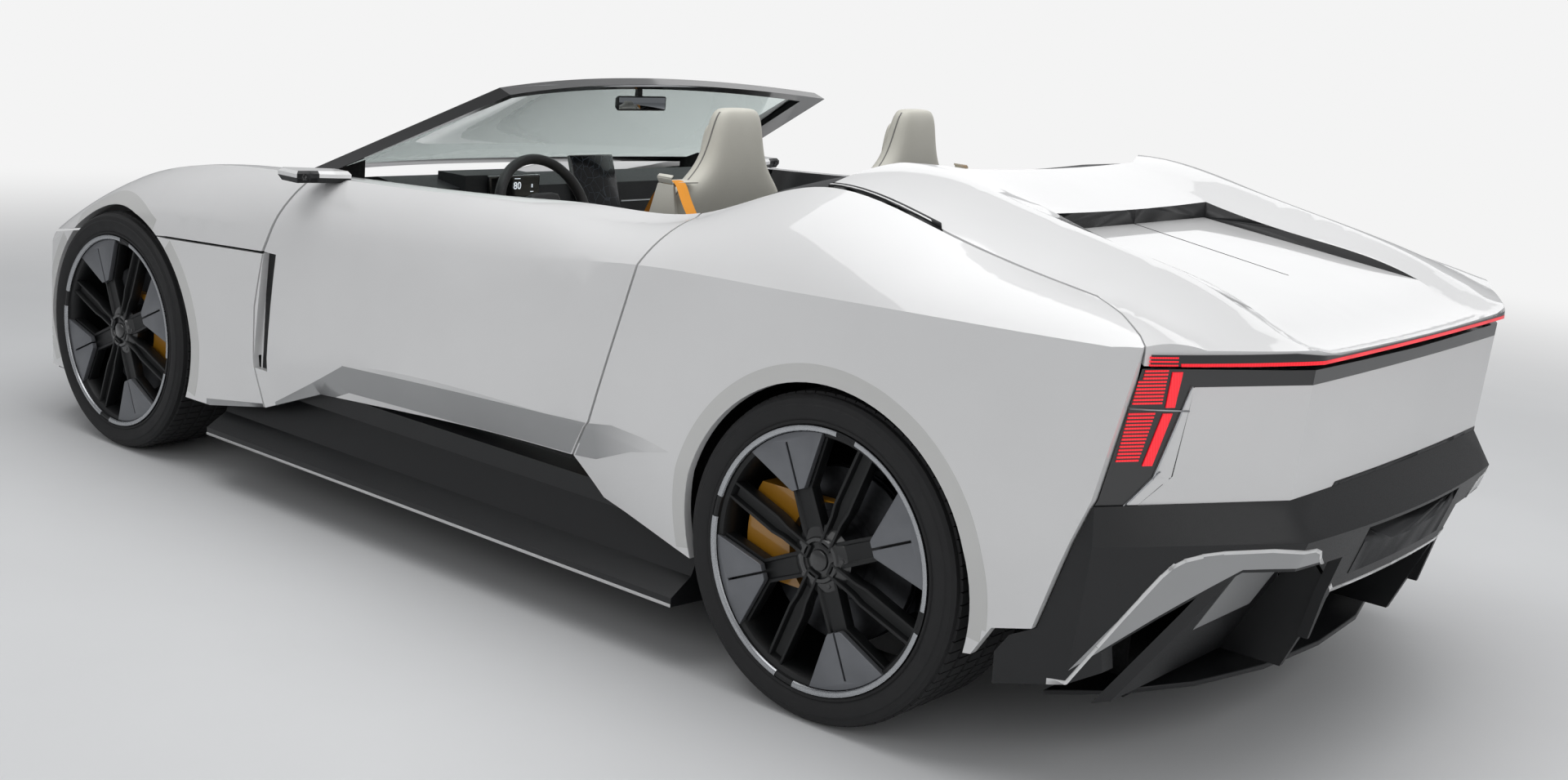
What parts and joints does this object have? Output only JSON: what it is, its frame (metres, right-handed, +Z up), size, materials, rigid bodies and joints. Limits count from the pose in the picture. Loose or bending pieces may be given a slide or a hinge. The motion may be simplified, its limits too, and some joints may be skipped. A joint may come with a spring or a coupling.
{
  "type": "roadster convertible",
  "caption": "Open two-door electric roadster with clamshell bonnet, twin headrest fairings, low glass and large split-spoke wheels.",
  "frame": {"origin": "on the ground under the middle of the overall length and width", "axes": "+X forward, +Y to the car's left, +Z up"},
  "size_m": [4.4908, 2.016, 1.266],
  "materials": {
    "arm_metal": "cast metal",
    "battery_case": "cast case",
    "black_gloss": "gloss black moulding",
    "black_satin": "satin black moulding",
    "caliper_gold": "gold paint",
    "carpet": "dark carpet",
    "disc_steel": "ground steel",
    "display_glass": "display cover",
    "lamp_glass": "clear lamp cover",
    "red_lamp": "red lamp cover over black",
    "rim_metal": "satin grey cast",
    "screen_glass": "clear laminated glass",
    "seat_cloth": "pale leather",
    "trim_dark": "grained dark trim",
    "tyre_rubber": "rubber",
    "underbody": "satin black coating",
    "white_paint": "gloss white paint"
  },
  "bodies": {
    "car_body": {"nose_bumper": "white_paint", "headlamps": "lamp_glass", "wing_panels": "white_paint", "quarters": "white_paint", "tonneau": "black_satin", "rear_fascia": "white_paint", "rear_bumper": "black_satin", "tail_lamps": "red_lamp", "sills": "black_satin", "front_splitter": "black_satin", "windscreen_frame": "black_gloss", "windscreen_glass": "screen_glass", "floor_tub": "underbody", "battery_block": "battery_case", "cabin_floor": "carpet", "console": "trim_dark", "calipers_rear": "caliper_gold", "front_suspension": "arm_metal", "rear_suspension": "arm_metal", "drive_unit": "arm_metal", "dashboard": "trim_dark", "centre_screen": "display_glass", "seats": "seat_cloth", "rear_view_mirror": "black_gloss"},
    "bonnet_lid": {"bonnet": "white_paint"},
    "rear_lid": {"deck_lid": "white_paint"},
    "steering_wheel_body": {"steering_wheel": "trim_dark"},
    "door_left_body": {"door_left": "white_paint", "mirror_left": "white_paint"},
    "steer_left_body": {"knuckle_left": "arm_metal", "caliper_front_left": "caliper_gold"},
    "door_right_body": {"door_right": "white_paint", "mirror_right": "white_paint"},
    "steer_right_body": {"knuckle_right": "arm_metal", "caliper_front_right": "caliper_gold"},
    "wheel_front_left_body": {"tyre_front_left": "tyre_rubber", "rim_front_left": "rim_metal", "disc_front_left": "disc_steel"},
    "wheel_front_right_body": {"tyre_front_right": "tyre_rubber", "rim_front_right": "rim_metal", "disc_front_right": "disc_steel"},
    "wheel_rear_left_body": {"tyre_rear_left": "tyre_rubber", "rim_rear_left": "rim_metal", "disc_rear_left": "disc_steel"},
    "wheel_rear_right_body": {"tyre_rear_right": "tyre_rubber", "rim_rear_right": "rim_metal", "disc_rear_right": "disc_steel"}
  },
  "joints": [
    {"name": "bonnet_hinge", "type": "hinge", "parent": "car_body", "child": "bonnet_lid", "pos_m": [2.0935, 0, 0.64], "axis": [0, 1, 0], "range_deg": [0, 45]},
    {"name": "rear_lid_hinge", "type": "hinge", "parent": "car_body", "child": "rear_lid", "pos_m": [-1.0605, 0, 1.06], "axis": [0, 1, 0], "range_deg": [0, 55]},
    {"name": "door_left_hinge", "type": "hinge", "parent": "car_body", "child": "door_left_body", "pos_m": [0.7, 0.965, 0.6], "axis": [0, 0, -1], "range_deg": [0, 62]},
    {"name": "steer_left", "type": "hinge", "parent": "car_body", "child": "steer_left_body", "pos_m": [1.4465, 0.772, 0.365], "axis": [0, 0, 1], "range_deg": [-30, 30]},
    {"name": "door_right_hinge", "type": "hinge", "parent": "car_body", "child": "door_right_body", "pos_m": [0.7, -0.965, 0.6], "axis": [0, 0, 1], "range_deg": [0, 62]},
    {"name": "steer_right", "type": "hinge", "parent": "car_body", "child": "steer_right_body", "pos_m": [1.4465, -0.772, 0.365], "axis": [0, 0, 1], "range_deg": [-30, 30]},
    {"name": "steering_wheel_turn", "type": "hinge", "parent": "car_body", "child": "steering_wheel_body", "pos_m": [0.21, 0.375, 0.872], "axis": [-0.9272, 0, 0.3746], "range_deg": [-300, 300]},
    {"name": "spin_front_left", "type": "hinge", "parent": "steer_left_body", "child": "wheel_front_left_body", "pos_m": [1.4465, 0.9, 0.365], "axis": [0, 1, 0], "continuous": true},
    {"name": "spin_front_right", "type": "hinge", "parent": "steer_right_body", "child": "wheel_front_right_body", "pos_m": [1.4465, -0.9, 0.365], "axis": [0, 1, 0], "continuous": true},
    {"name": "spin_rear_left", "type": "hinge", "parent": "car_body", "child": "wheel_rear_left_body", "pos_m": [-1.3205, 0.9, 0.365], "axis": [0, 1, 0], "continuous": true},
    {"name": "spin_rear_right", "type": "hinge", "parent": "car_body", "child": "wheel_rear_right_body", "pos_m": [-1.3205, -0.9, 0.365], "axis": [0, 1, 0], "continuous": true}
  ],
  "couplings": [
    {"joint": "steer_right", "follows": "steer_left", "ratio": 1},
    {"joint": "steering_wheel_turn", "follows": "steer_left", "ratio": 10}
  ]
}
